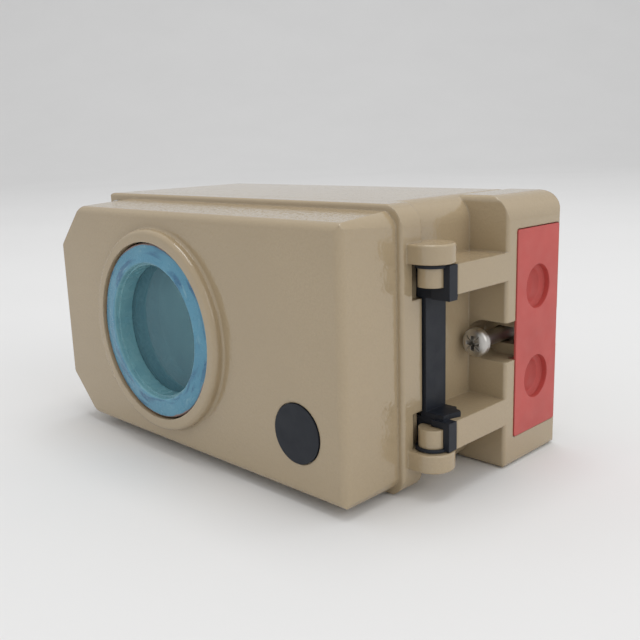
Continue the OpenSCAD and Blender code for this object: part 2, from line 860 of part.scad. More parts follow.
module hinge_bar()
    color(black) in_frame() translate([0, 0, -hinge_drop]) {
        hinge_clip(foot_t);
        clip_foot();
        mirrored() {
            hinge_clip(0);
            clip_foot();
            foot_barb();
        }
        along_z(mid_z - arm_low + foot_t / 2, mid_z + arm_low - foot_t / 2)
            translate([strip_x - strip_t, strip_y]) square([strip_t, strip_w]);
    }

// Air ports

module port_cover()
    color(red) in_frame()
        difference() {
            union() {
                along_x(port_seat_x, block_x + port_cover_proud)
                    round_rect([port_cover_y, port_cover_z - port_cover_h / 2],
                        [port_cover_y + port_cover_w, port_cover_z + port_cover_h / 2], port_cover_r);
                for (side = [-1, 1])
                    translate([port_seat_x - plug_l, port_y, port_z + side * port_pitch / 2])
                        rotate([0, 90, 0]) cylinder(r = port_r - plug_gap, h = plug_l + cut);
            }
            for (side = [-1, 1])
                translate([block_x + port_cover_proud - dish_d, port_y, port_z + side * port_pitch / 2])
                    rotate([0, 90, 0]) cylinder(r = dish_r, h = dish_d + cut);
        }

// Captive fixing screws

module fixing_screw(x)
    color(steel) in_frame()
        difference() {
            pan_screw(x, fix_z, fix_seat_y, fix_r, fix_l, fix_head_r, fix_head_h);
            tube_y(x, fix_z, fix_r + cut, fix_r - fix_groove, ledge_back, ledge_back + ring_clip_t);
        }

module retaining_ring(x)
    color(steel) in_frame()
        tube_y(x, fix_z, ring_clip_r, fix_r - fix_groove, ledge_back, ledge_back + ring_clip_t);

module fixing_screw_hinge_end() fixing_screw(fix_x);
module retaining_ring_hinge_end() retaining_ring(fix_x);
module fixing_screw_far_end() fixing_screw(fix_far);
module retaining_ring_far_end() retaining_ring(fix_far);

// Instrument panel

module panel_holes() {
    along_y(panel_y - cut, panel_y + panel_t + cut) {
        translate([display_x - display_l / 2 - skin_gap, mid_z - display_w / 2 - skin_gap])
            square([display_l + 2 * skin_gap, display_w + 2 * skin_gap]);
        translate([terminal_x - skin_gap, mid_z - terminal_w / 2 - skin_gap])
            square([terminal_l + 2 * skin_gap, terminal_w + 2 * skin_gap]);
        translate([controls_x, upper_z]) circle(r = sleeve_r + 1);
        translate([keys_x, upper_z]) circle(r = key_r + skin_gap);
        translate([controls_x - handle_s / 2 - skin_gap, lower_z - handle_s / 2 - skin_gap])
            square([handle_s + switch_travel + 2 * skin_gap, handle_s + 2 * skin_gap]);
        translate([keys_x, lower_z]) circle(r = restrictor_r + skin_gap);
    }
}

module instrument_panel()
    color(grey) in_frame()
        difference() {
            union() {
                difference() {
                    along_y(panel_y, skirt_y)
                        round_rect([panel_x0, panel_z0], [panel_x1, panel_z1], panel_r);
                    along_y(panel_y + panel_t, skirt_y + cut)
                        round_rect([panel_x0 + panel_wall, panel_z0 + panel_wall],
                            [panel_x1 - panel_wall, panel_z1 - panel_wall], panel_r - panel_wall);
                }
                for (x = [panel_x0 + post_in, panel_x1 - post_in],
                        z = [panel_z0 + post_in, panel_z1 - post_in]) {
                    bar_y(x, z, pillar_r, panel_y + cut, board_y + board_t + cut);
                    bar_y(x, z, post_r, board_y + board_t, post_y);
                }
            }
            panel_holes();
            for (x = [panel_x0 + post_in, panel_x1 - post_in],
                    z = [panel_z0 + post_in, panel_z1 - post_in])
                bar_y(x, z, panel_screw_hole, panel_y - cut, post_y + cut);
        }

module panel_screws()
    color(steel) in_frame()
        for (x = [panel_x0 + post_in, panel_x1 - post_in], z = [panel_z0 + post_in, panel_z1 - post_in])
            pan_screw(x, z, panel_y, panel_screw_r, post_y - panel_y + panel_screw_reach, panel_head_r,
                panel_head_h);

module circuit_board()
    color(green) in_frame()
        along_y(board_y, board_y + board_t)
            difference() {
                round_rect([panel_x0 + panel_wall + skin_gap, panel_z0 + panel_wall + skin_gap],
                    [panel_x1 - panel_wall - skin_gap, panel_z1 - panel_wall - skin_gap],
                    panel_r - panel_wall);
                for (x = [panel_x0 + post_in, panel_x1 - post_in],
                        z = [panel_z0 + post_in, panel_z1 - post_in])
                    translate([x, z]) circle(r = pillar_r + skin_gap);
                for (x = [panel_x0, panel_x1], z = [panel_z0, panel_z1])
                    translate([x, z]) square(2 * (post_in + skin_gap), center = true);
                translate([keys_x, lower_z]) circle(r = stem_r + skin_gap);
            }

module display_module()
    color(black) in_frame()
        difference() {
            along_y(display_y, board_y)
                round_rect([display_x - display_l / 2, mid_z - display_w / 2],
                    [display_x + display_l / 2, mid_z + display_w / 2], display_r);
            along_y(display_y - cut, display_y + display_glass_t)
                translate([display_x - display_l / 2 + display_rim, mid_z - display_w / 2 + display_rim])
                    square([display_l - 2 * display_rim, display_w - 2 * display_rim]);
        }

module display_glass()
    color([0.62, 0.68, 0.62]) in_frame()
        along_y(display_y + display_sunk, display_y + display_glass_t)
            translate([display_x - display_l / 2 + display_rim, mid_z - display_w / 2 + display_rim])
                square([display_l - 2 * display_rim, display_w - 2 * display_rim]);

function terminal_z(i) = mid_z + (i - (terminal_count - 1) / 2) * terminal_pitch;

module terminal_block()
    color([0.20, 0.36, 0.30]) in_frame()
        difference() {
            along_y(terminal_y, board_y)
                translate([terminal_x, mid_z - terminal_w / 2]) square([terminal_l, terminal_w]);
            for (i = [0:terminal_count - 1]) {
                bar_y(terminal_screw_x, terminal_z(i), terminal_screw_r + plug_gap, terminal_y - cut,
                    terminal_well);
                translate([terminal_x - cut, wire_y, terminal_z(i) - wire_hole[2] / 2])
                    cube([wire_hole[0] + cut, wire_hole[1], wire_hole[2]]);
            }
        }

module terminal_screws()
    color(steel) in_frame()
        for (i = [0:terminal_count - 1])
            difference() {
                bar_y(terminal_screw_x, terminal_z(i), terminal_screw_r, terminal_screw_y, terminal_well);
                translate([terminal_screw_x, terminal_screw_y, terminal_z(i)])
                    cube([2.5 * terminal_screw_r, 0.8 * terminal_screw_r, 0.35 * terminal_screw_r],
                        center = true);
            }

// Rotary push-button

module encoder()
    color(black) in_frame()
        difference() {
            translate([controls_x - encoder_s / 2, board_y - encoder_h, upper_z - encoder_s / 2])
                cube([encoder_s, encoder_h, encoder_s]);
            bar_y(controls_x, upper_z, sleeve_r + run_gap, board_y - encoder_h - cut,
                board_y - encoder_floor);
        }

module encoder_sleeve()
    color(brass) in_frame()
        tube_y(controls_x, upper_z, sleeve_r, knob_shaft_r + run_gap, panel_y, stem_end);

module knob_shaft()
    color(steel) in_frame()
        bar_y(controls_x, upper_z, knob_shaft_r, knob_y + knob_cap, stem_end);

module knob()
    color(black) in_frame()
        difference() {
            bar_y(controls_x, upper_z, knob_r, knob_y, knob_y + knob_h);
            for (i = [0:knob_grips - 1])
                bar_y(controls_x + grip_at * cos(i * 360 / knob_grips),
                    upper_z + grip_at * sin(i * 360 / knob_grips), grip_r, knob_y - cut,
                    knob_y + knob_h + cut);
            bar_y(controls_x, upper_z, 0.5 * knob_r, knob_y - cut, knob_y + knob_dish_d);
            bar_y(controls_x, upper_z, knob_shaft_r + seat_gap, knob_y + knob_cap, knob_y + knob_h + cut);
        }

// Keys and switches

module key_switch()
    color(black) in_frame()
        translate([keys_x - key_switch_s / 2, board_y - key_switch_h, upper_z - key_switch_s / 2])
            cube([key_switch_s, key_switch_h, key_switch_s]);

module init_key()
    color(grey) in_frame()
        bar_y(keys_x, upper_z, key_r, panel_y + key_sunk, board_y - key_switch_h - key_travel - key_play);

module switch_body()
    color(black) in_frame()
        translate([controls_x - switch_l / 2 + switch_travel / 2, switch_y, lower_z - switch_w / 2])
            cube([switch_l, board_y - switch_y, switch_w]);

module air_switch()
    color([0.85, 0.85, 0.82]) in_frame() {
        translate([controls_x - slider_l / 2, panel_y + panel_t + skin_gap, lower_z - slider_w / 2])
            cube([slider_l, switch_y - panel_y - panel_t - 2 * skin_gap, slider_w]);
        translate([controls_x - handle_s / 2, panel_y - handle_h, lower_z - handle_s / 2])
            cube([handle_s, handle_h + panel_t + cut, handle_s]);
    }

// Pneumatics

module restrictor()
    color(brass) in_frame()
        difference() {
            union() {
                bar_y(keys_x, lower_z, restrictor_r, panel_y - restrictor_h, panel_y + panel_t);
                bar_y(keys_x, lower_z, stem_r, panel_y, booster_y + stem_in);
            }
            translate([keys_x, panel_y - restrictor_h, lower_z])
                cube([2.4 * restrictor_r, 1.6 * restrictor_slot, restrictor_slot], center = true);
        }

module booster()
    color([0.55, 0.56, 0.58]) in_frame()
        difference() {
            along_y(booster_y, floor_y)
                round_rect([booster_x, mid_z - booster_w / 2],
                    [cavity_x, mid_z + booster_w / 2], booster_r);
            bar_y(keys_x, lower_z, stem_r + run_gap, booster_y - cut, booster_y + stem_in + skin_gap);
            for (side = [-1, 1])
                translate([cavity_x - passage_l, port_y, port_z + side * port_pitch / 2])
                    rotate([0, 90, 0]) cylinder(r = passage_r, h = passage_l + cut);
        }

module pressure_module()
    color([0.50, 0.52, 0.50]) in_frame() {
        along_y(module_y + capsule_h, floor_y)
            round_rect([module_x, mid_z - module_w / 2],
                [module_x + module_l, mid_z + module_w / 2], module_r);
        bar_y(module_x + module_l / 2, mid_z, capsule_r, module_y, module_y + capsule_h + cut);
    }

// Travel pick-up

module travel_sensor()
    color(black) in_frame()
        difference() {
            bar_y(shaft_x, mid_z, sensor_r, floor_y - sensor_d, floor_y);
            bar_y(shaft_x, mid_z, shaft_r + run_gap, floor_y - sensor_d + sensor_floor, floor_y + cut);
            bar_y(shaft_x, mid_z, bush_flange_r + skin_gap, floor_y - bush_flange - skin_gap,
                floor_y + cut);
        }

module feedback_shaft()
    color(steel) in_frame()
        bar_y(shaft_x, mid_z, shaft_r, floor_y - sensor_d + sensor_floor + skin_gap, shaft_end);

module shaft_bush()
    color(brass) in_frame()
        difference() {
            union() {
                bar_y(shaft_x, mid_z, bush_r, floor_y - cut, back_y);
                bar_y(shaft_x, mid_z, bush_flange_r, floor_y - bush_flange, floor_y);
            }
            bar_y(shaft_x, mid_z, shaft_r + run_gap, floor_y - bush_flange - cut, back_y + cut);
            bar_y(shaft_x, mid_z, shaft_seal_r, back_y - shaft_seal_l, back_y + cut);
        }

module shaft_seal()
    color(rubber) in_frame()
        tube_y(shaft_x, mid_z, shaft_seal_r - seat_gap, shaft_r + run_gap, back_y - shaft_seal_l, back_y);

module pickup_lever()
    color(steel) in_frame()
        along_y(lever_y, lever_y + lever_t)
            difference() {
                round_poly([[shaft_x + lever_hub_r, mid_z - lever_hub_r],
                    [shaft_x + lever_hub_r, mid_z + lever_hub_r],
                    [shaft_x - lever_l, mid_z + lever_tip_r], [shaft_x - lever_l, mid_z - lever_tip_r]],
                    [0.9 * lever_hub_r, 0.9 * lever_hub_r, 0.8 * lever_tip_r, 0.8 * lever_tip_r]);
                translate([shaft_x, mid_z]) circle(r = shaft_r + seat_gap);
                translate([shaft_x - follower_at, mid_z]) circle(r = follower_stem_r + seat_gap);
                for (hole = [0.5, 0.7])
                    translate([shaft_x - hole * follower_at, mid_z]) circle(r = follower_stem_r);
            }

module lever_nut()
    color(steel) in_frame()
        difference() {
            translate([shaft_x, lever_y + lever_t, mid_z]) rotate([-90, 0, 0])
                cylinder(r = 1.8 * shaft_r, h = nut_h, $fn = 6);
            bar_y(shaft_x, mid_z, shaft_r + seat_gap, lever_y, lever_y + lever_t + nut_h + cut);
        }

module lever_spacer()
    color(brass) in_frame()
        tube_y(shaft_x, mid_z, 1.5 * shaft_r, shaft_r + seat_gap, back_y + skin_gap, lever_y);

module follower_pin()
    color(steel) in_frame() {
        bar_y(shaft_x - follower_at, mid_z, follower_r, lever_y + lever_t, lever_y + lever_t + follower_l);
        bar_y(shaft_x - follower_at, mid_z, follower_stem_r, lever_y - follower_nut_h - follower_end,
            lever_y + lever_t + cut);
    }

module follower_nut()
    color(steel) in_frame()
        difference() {
            translate([shaft_x - follower_at, lever_y - follower_nut_h, mid_z]) rotate([-90, 0, 0])
                cylinder(r = 1.15 * follower_r, h = follower_nut_h, $fn = 6);
            bar_y(shaft_x - follower_at, mid_z, follower_stem_r + seat_gap, lever_y - follower_nut_h - cut,
                lever_y + cut);
        }

// Closures

module blanking_plug()
    color(black) in_frame()
        translate([entry_x + entry_pitch, part_y + entry_y, 0])
            difference() {
                union() {
                    cylinder_at(skin_gap, plug_head_r, plug_head - skin_gap - plug_seal_t);
                    cylinder_at(plug_head - plug_seal_t - cut, entry_r - plug_gap,
                        entry_l - plug_head + cut);
                }
                translate([0, 0, -cut]) cylinder(r = plug_key_r, h = plug_head + cut, $fn = 6);
            }

module cylinder_at(z, r, h) translate([0, 0, z]) cylinder(r = r, h = h);

module plug_seal()
    color(rubber) in_frame()
        translate([entry_x + entry_pitch, part_y + entry_y, plug_head - plug_seal_t])
            difference() {
                cylinder(r = plug_head_r, h = plug_seal_t);
                cylinder_at(-cut, entry_r, plug_seal_t + 2 * cut);
            }

module vent_cap()
    color(black) in_frame()
        difference() {
            bar_y(vent_x, vent_z, vent_r - plug_gap, back_y - vent_d, back_y - plug_gap);
            for (i = [-1:1])
                translate([vent_x, back_y - plug_gap, vent_z + i * vent_pitch])
                    cube(vent_slot, center = true);
        }

housing();
cover();
cover_gasket();
cover_screws();
window_ring();
window_glass();
window_seal();
badge();
hinge_bar();
port_cover();
fixing_screw_hinge_end();
retaining_ring_hinge_end();
fixing_screw_far_end();
retaining_ring_far_end();
instrument_panel();
panel_screws();
circuit_board();
display_module();
display_glass();
terminal_block();
terminal_screws();
encoder();
encoder_sleeve();
knob_shaft();
knob();
key_switch();
init_key();
switch_body();
air_switch();
restrictor();
booster();
pressure_module();
travel_sensor();
feedback_shaft();
shaft_bush();
shaft_seal();
pickup_lever();
lever_spacer();
lever_nut();
follower_pin();
follower_nut();
blanking_plug();
plug_seal();
vent_cap();
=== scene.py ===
import json
import math

import bmesh
import bpy
from mathutils import Matrix, Vector


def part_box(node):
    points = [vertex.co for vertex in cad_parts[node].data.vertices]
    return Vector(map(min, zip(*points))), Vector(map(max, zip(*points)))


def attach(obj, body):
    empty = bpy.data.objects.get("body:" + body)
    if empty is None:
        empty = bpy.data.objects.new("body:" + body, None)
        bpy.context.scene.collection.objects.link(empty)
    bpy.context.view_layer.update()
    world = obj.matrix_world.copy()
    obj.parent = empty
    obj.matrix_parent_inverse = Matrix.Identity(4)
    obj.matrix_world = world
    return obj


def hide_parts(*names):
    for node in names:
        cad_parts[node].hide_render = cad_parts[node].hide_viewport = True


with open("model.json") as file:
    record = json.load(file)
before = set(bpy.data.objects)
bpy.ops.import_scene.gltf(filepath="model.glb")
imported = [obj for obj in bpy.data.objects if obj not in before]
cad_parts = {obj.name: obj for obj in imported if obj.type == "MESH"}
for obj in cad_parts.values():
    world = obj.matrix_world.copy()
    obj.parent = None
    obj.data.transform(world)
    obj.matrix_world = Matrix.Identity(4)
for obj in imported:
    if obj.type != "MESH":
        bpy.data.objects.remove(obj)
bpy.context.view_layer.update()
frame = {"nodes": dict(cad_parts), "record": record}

NODES = frame["nodes"]
MM = 0.001

# Axes of the two air ports
PORT_Y = 22.5 * MM
PORT_HEIGHTS = (28.3 * MM, 59.3 * MM)

# Face of the window's ring, from its bore to its rim
RING_BORE_R = 24 * MM
RING_RIM_R = 31 * MM

# Camera, from a fit to the photograph's edges (metres, degrees, pixels of a 640 x 640 picture)
CAMERA_AT = (0.21804, -0.21556, 0.10852)
CAMERA_YAW = 44.96
CAMERA_PITCH = 12.5
CAMERA_ROLL = -1.8
FOCAL_PIXELS = 809.72
PICTURE_PIXELS = 640
SENSOR_MM = 36.0

# Sockets of a Mix node that belong to colours
MIX_FACTOR, MIX_FIRST, MIX_SECOND, MIX_RESULT = 0, 6, 7, 2


def linear(red, green, blue):
    """A colour given as 0-255 values on screen, as the linear values that shaders take."""
    def channel(value):
        share = value / 255
        return share / 12.92 if share <= 0.04045 else ((share + 0.055) / 1.055) ** 2.4
    return (channel(red), channel(green), channel(blue), 1.0)


def shaded(colour, factor):
    """The colour made darker or lighter by a factor."""
    return tuple(min(1.0, part * factor) for part in colour[:3]) + (1.0,)


class Look:
    """A material with the node patterns that the finishes share."""

    def __init__(self, name):
        self.material = bpy.data.materials.new(name)
        self.material.use_nodes = True
        self.tree = self.material.node_tree
        self.tree.nodes.clear()
        self.output = self.node("ShaderNodeOutputMaterial")
        self.coords = self.node("ShaderNodeTexCoord").outputs["Object"]

    def node(self, kind, **settings):
        """A new node with some of its settings."""
        made = self.tree.nodes.new(kind)
        for key, value in settings.items():
            setattr(made, key, value)
        return made

    def feed(self, socket, value):
        """What a socket takes: another socket is linked to it, and a plain value is set on it."""
        if isinstance(value, bpy.types.NodeSocket):
            self.tree.links.new(value, socket)
        else:
            socket.default_value = value

    def vector(self, operation, *values):
        """The result of a Vector Math node."""
        node = self.node("ShaderNodeVectorMath", operation=operation)
        for socket, value in zip(node.inputs, values):
            self.feed(socket, value)
        return node.outputs["Value" if operation in ("LENGTH", "DOT_PRODUCT") else "Vector"]

    def number(self, operation, first, second):
        """The result of a Math node."""
        node = self.node("ShaderNodeMath", operation=operation)
        self.feed(node.inputs[0], first)
        self.feed(node.inputs[1], second)
        return node.outputs["Value"]

    def squeezed(self, factors):
        """Object coordinates that draw a pattern out along the axes whose factor is below one."""
        return self.vector("MULTIPLY", self.coords, factors)

    def polar(self, centre):
        """Coordinates that draw a pattern out along rings about a Y axis, and the distance from that axis."""
        across_scale, around_scale = 420, 2.4
        offset = self.vector("SUBTRACT", self.coords, centre)
        flat = self.vector("MULTIPLY", offset, (1, 0, 1))
        distance = self.vector("LENGTH", flat)
        across = self.number("ADD", distance, self.vector("DOT_PRODUCT", offset, (0, 1, 0)))
        across = self.vector("MULTIPLY", across, (0, across_scale, 0))
        around = self.vector("MULTIPLY", self.vector("NORMALIZE", flat), [around_scale] * 3)
        return self.vector("ADD", across, around), distance

    def noise(self, scale, detail=2, distortion=0, place=None):
        """Noise whose features are about 1 / scale wide."""
        texture = self.node("ShaderNodeTexNoise")
        self.feed(texture.inputs["Scale"], scale)
        self.feed(texture.inputs["Detail"], detail)
        self.feed(texture.inputs["Distortion"], distortion)
        self.feed(texture.inputs["Vector"], place or self.coords)
        return texture.outputs["Fac"]

    def cells(self, scale):
        """Soft cells, as in a leathery or hammered coat."""
        texture = self.node("ShaderNodeTexVoronoi", feature="SMOOTH_F1")
        self.feed(texture.inputs["Scale"], scale)
        self.feed(texture.inputs["Vector"], self.coords)
        return texture.outputs["Distance"]

    def spread(self, value, low, high, start=0.3, end=0.7):
        """The value from start to end, laid out from low to high."""
        ramp = self.node("ShaderNodeMapRange")
        self.feed(ramp.inputs["Value"], value)
        self.feed(ramp.inputs["From Min"], start)
        self.feed(ramp.inputs["From Max"], end)
        self.feed(ramp.inputs["To Min"], low)
        self.feed(ramp.inputs["To Max"], high)
        return ramp.outputs["Result"]

    def uneven(self, low, high, scale, detail=3, place=None):
        """A value that wanders between low and high, over features about 1 / scale wide."""
        return self.spread(self.noise(scale, detail, place=place), low, high)

    def blend(self, factor, first, second):
        """A colour between two others."""
        mix = self.node("ShaderNodeMix", data_type="RGBA")
        self.feed(mix.inputs[MIX_FACTOR], factor)
        self.feed(mix.inputs[MIX_FIRST], first)
        self.feed(mix.inputs[MIX_SECOND], second)
        return mix.outputs[MIX_RESULT]

    def mottled(self, first, second, scale, detail=3):
        """Two colours that run into each other in soft patches."""
        return self.blend(self.uneven(0, 1, scale, detail), first, second)

    def bump(self, height, depth, normal):
        """The normal, tilted by a height; depth is in metres."""
        node = self.node("ShaderNodeBump")
        self.feed(node.inputs["Distance"], depth)
        self.feed(node.inputs["Height"], height)
        self.feed(node.inputs["Normal"], normal)
        return node.outputs["Normal"]

    def soft_edges(self, radius):
        """Normals that turn smoothly over an edge."""
        node = self.node("ShaderNodeBevel", samples=4)
        self.feed(node.inputs["Radius"], radius)
        return node.outputs["Normal"]

    def painted_edge_highlight(self, soft):
        """Near one along the edges, zero on flat faces: where a painted highlight goes."""
        face = self.node("ShaderNodeNewGeometry").outputs["Normal"]
        edge_dot, flat_dot = 0.93, 0.998
        return self.spread(self.vector("DOT_PRODUCT", soft, face), 1, 0, edge_dot, flat_dot)

    def shader(self, kind, **values):
        """A shader with the values of its sockets, whose names have _ for each space."""
        node = self.node("ShaderNodeBsdf" + kind)
        for key, value in values.items():
            self.feed(node.inputs[key.replace("_", " ")], value)
        return node

    def mixed(self, share, first, second):
        """Two shaders mixed by the share of the second."""
        mix = self.node("ShaderNodeMixShader")
        self.feed(mix.inputs[0], share)
        self.feed(mix.inputs[1], first.outputs[0])
        self.feed(mix.inputs[2], second.outputs[0])
        return mix

    def show(self, shader):
        """The finished material with the shader as its surface."""
        self.feed(self.output.inputs["Surface"], shader.outputs[0])
        return self.material


def paint_look():
    """Powder coat: a glossy, leathery orange peel, uneven in tone, with a painted highlight along its edges.
    """
    look = Look("paint")
    tan = linear(171, 153, 124)
    soft = look.soft_edges(0.7 * MM)
    tone = look.mottled(shaded(tan, 0.965), shaded(tan, 1.035), scale=30)
    speck = look.spread(look.noise(scale=1500), 0, 1, start=0.35, end=0.65)
    tone = look.blend(speck, tone, shaded(tan, 0.97))
    # Painted highlight: the tone turns paler along the edges.
    tone = look.blend(look.painted_edge_highlight(soft), tone, shaded(tan, 1.1))
    peel = look.bump(look.noise(scale=700, detail=1, distortion=0.4), 0.09 * MM, soft)
    peel = look.bump(look.cells(scale=1100), 0.014 * MM, peel)
    gloss = look.uneven(0.05, 0.09, scale=420)
    return look.show(look.shader("Principled", Base_Color=tone, Roughness=gloss, Normal=peel,
                                 Specular_IOR_Level=0.8))


def moulded_look(name, colour, gloss, grain=1600, depth=0.012 * MM, edge=0.3 * MM, specular=0.5):
    """Moulded plastic: fine grain, uneven gloss, softened edges and a painted highlight along them."""
    look = Look(name)
    soft = look.soft_edges(edge)
    tone = look.mottled(shaded(colour, 0.93), shaded(colour, 1.07), scale=60)
    # Painted highlight: the tone turns paler along the edges.
    tone = look.blend(look.painted_edge_highlight(soft), tone, shaded(colour, 1.15))
    fine = look.bump(look.noise(grain), depth, soft)
    return look.show(look.shader("Principled", Base_Color=tone, Roughness=look.uneven(*gloss, scale=220),
                                 Normal=fine, Specular_IOR_Level=specular))


def metal_look(name, colour, gloss, stretch=(1, 1, 1), depth=0.006 * MM):
    """Bare metal: tool marks along one direction, uneven gloss, slight tarnish."""
    look = Look(name)
    place = look.squeezed(stretch)
    tone = look.mottled(shaded(colour, 0.86), shaded(colour, 1.06), scale=140, detail=4)
    marks = look.bump(look.noise(scale=900, place=place), depth, look.soft_edges(0.15 * MM))
    sheen = look.uneven(*gloss, scale=500, place=place)
    return look.show(look.shader("Principled", Base_Color=tone, Roughness=sheen, Normal=marks, Metallic=1.0))


def film_look():
    """Blue protective film on the window's ring: streaked on its face, smooth and paler in its bore, with a
    painted pinkish refraction of the bezel along its rim.
    """
    fade, painted_rim_widest, painted_rim_thinnest = 0.6 * MM, 0.9 * MM, 0.3 * MM
    look = Look("blue_film")
    low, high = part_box("window_ring")
    around, radius = look.polar((low + high) / 2)
    face = look.mottled(linear(78, 138, 166), linear(94, 152, 176), scale=70, detail=2)
    streak = look.noise(scale=0.9, detail=4, distortion=0.8, place=around)
    face = look.blend(look.spread(streak, 0, 0.8, start=0.54, end=0.68), face, linear(52, 100, 136))
    fleck = look.noise(scale=1.3, detail=4, distortion=0.5, place=around)
    face = look.blend(look.spread(fleck, 0, 0.6, start=0.6, end=0.72), face, linear(136, 178, 190))
    bore = look.mottled(linear(112, 160, 172), linear(128, 174, 182), scale=120, detail=2)
    on_face = look.spread(radius, 0, 1, start=RING_BORE_R, end=RING_BORE_R + fade)
    tone = look.blend(on_face, bore, face)
    # Painted refraction: a pinkish band along the rim stands in for the tan bezel seen through the film's
    # edge.
    painted_rim_start = look.uneven(RING_RIM_R - painted_rim_widest, RING_RIM_R - painted_rim_thinnest, scale=160)
    tone = look.blend(look.number("GREATER_THAN", radius, painted_rim_start), tone, linear(146, 124, 122))
    wrinkle = look.noise(scale=0.8, distortion=0.6, place=around)
    pucker = look.bump(wrinkle, 0.08 * MM, look.soft_edges(0.35 * MM))
    gloss = look.uneven(0.2, 0.34, scale=300)
    return look.show(look.shader("Principled", Base_Color=tone, Roughness=gloss, Normal=pucker))


def glass_look():
    """Pane under a teal protective film that blurs what is behind it, with faint smears."""
    film_share, shine_ior = 0.35, 1.25
    look = Look("glass")
    smear = look.noise(scale=90, detail=4, place=look.squeezed((1, 1, 0.4)))
    tint = look.blend(look.spread(smear, 0, 1), linear(206, 234, 234), linear(214, 240, 240))
    blurred = look.shader("Refraction", Color=tint, Roughness=look.spread(smear, 0.16, 0.22), IOR=1.0)
    clear = look.shader("Transparent", Color=tint)
    for_shadows = look.node("ShaderNodeLightPath").outputs["Is Shadow Ray"]
    haze = look.mottled(linear(124, 180, 197), linear(134, 190, 206), scale=60)
    film = look.mixed(film_share, look.mixed(for_shadows, blurred, clear), look.shader("Diffuse", Color=haze))
    shine = look.shader("Glossy", Roughness=look.spread(smear, 0.05, 0.16))
    fresnel = look.node("ShaderNodeFresnel")
    look.feed(fresnel.inputs["IOR"], shine_ior)
    return look.show(look.mixed(fresnel.outputs["Fac"], film, shine))


def floor_look():
    """Plain pale paper."""
    look = Look("floor")
    tone = look.mottled(linear(226, 226, 226), linear(228, 228, 228), scale=4)
    gloss = look.uneven(0.8, 0.9, scale=20)
    return look.show(look.shader("Principled", Base_Color=tone, Roughness=gloss, Specular_IOR_Level=0.2))


def finishes():
    """The material of each slot in the record."""
    moulded = {
        "black_plastic": dict(colour=linear(25, 30, 39), gloss=(0.38, 0.54), specular=0.34),
        "red_plastic": dict(colour=linear(189, 81, 75), gloss=(0.42, 0.56), grain=1100, depth=0.02 * MM,
                            edge=0.5 * MM),
        "rubber": dict(colour=linear(34, 34, 35), gloss=(0.6, 0.75), grain=900, depth=0.03 * MM),
        "grey_plastic": dict(colour=linear(86, 92, 96), gloss=(0.45, 0.6)),
        "board": dict(colour=linear(32, 92, 62), gloss=(0.3, 0.45), grain=700, depth=0.02 * MM),
        "display": dict(colour=linear(186, 204, 190), gloss=(0.12, 0.22), grain=400, depth=0.004 * MM),
        "terminal_green": dict(colour=linear(60, 112, 88), gloss=(0.4, 0.55)),
        "white_plastic": dict(colour=linear(218, 218, 212), gloss=(0.4, 0.55)),
        "module_grey": dict(colour=linear(132, 136, 132), gloss=(0.45, 0.6)),
    }
    metals = {
        "steel": dict(colour=linear(198, 195, 190), gloss=(0.28, 0.42), depth=0.003 * MM),
        "brass": dict(colour=linear(206, 178, 112), gloss=(0.2, 0.34)),
        "alloy": dict(colour=linear(176, 178, 180), gloss=(0.34, 0.5), stretch=(1, 0.15, 0.15)),
    }
    looks = {"paint": paint_look(), "blue_plastic": film_look(), "glass": glass_look()}
    looks.update((slot, moulded_look(slot, **values)) for slot, values in moulded.items())
    looks.update((slot, metal_look(slot, **values)) for slot, values in metals.items())
    return looks


def paint_nodes(looks):
    """Every CAD node takes the finish of its slot."""
    for subpart in frame["record"]["subparts"]:
        mesh = NODES[subpart["node"]].data
        mesh.materials.clear()
        mesh.materials.append(looks[subpart["material_slot"]])


def linked(name, data):
    """A new object in the scene."""
    obj = bpy.data.objects.new(name, data)
    bpy.context.scene.collection.objects.link(obj)
    return obj


def as_mesh(name, made):
    """The bmesh as a new mesh."""
    mesh = bpy.data.meshes.new(name)
    made.to_mesh(mesh)
    made.free()
    return mesh


def detail(node, mesh, body, slot, looks):
    """A mesh as a named piece that rides a body in place of a CAD node."""
    obj = linked(node + "_detail", mesh)
    mesh.materials.clear()
    mesh.materials.append(looks[slot])
    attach(obj, body)
    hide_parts(node)


def plain(y, radius):
    """A row of a turned solid without a thread."""
    return (y, radius, 0, 0)


def turned(rows, segments=32):
    """A closed solid turned about Y. Each row is (y, radius, thread depth, turns so far)."""
    made = bmesh.new()
    rings = []
    for y, radius, depth, turns in rows:
        ring = []
        for i in range(segments):
            angle = 2 * math.pi * i / segments
            phase = (turns - i / segments) % 1.0
            r = radius - depth * abs(2 * phase - 1)
            ring.append(made.verts.new((r * math.cos(angle), y, r * math.sin(angle))))
        rings.append(ring)
    for lower, upper in zip(rings, rings[1:]):
        for i in range(segments):
            j = (i + 1) % segments
            made.faces.new((lower[i], upper[i], upper[j], lower[j]))
    made.faces.new(rings[0])
    made.faces.new(tuple(reversed(rings[-1])))
    bmesh.ops.recalc_face_normals(made, faces=made.faces)
    return made


def threaded(start, end, radius, depth, pitch):
    """Rows of a helical thread from start to end, running out at both ends."""
    rows_per_turn = 8
    count = max(rows_per_turn, round((end - start) / pitch * rows_per_turn))
    rows = []
    for i in range(count + 1):
        y = start + (end - start) * i / count
        run_out = min(1.0, (y - start) / pitch, (end - y) / pitch)
        rows.append((y, radius, depth * max(0.0, run_out), (y - start) / pitch))
    return rows


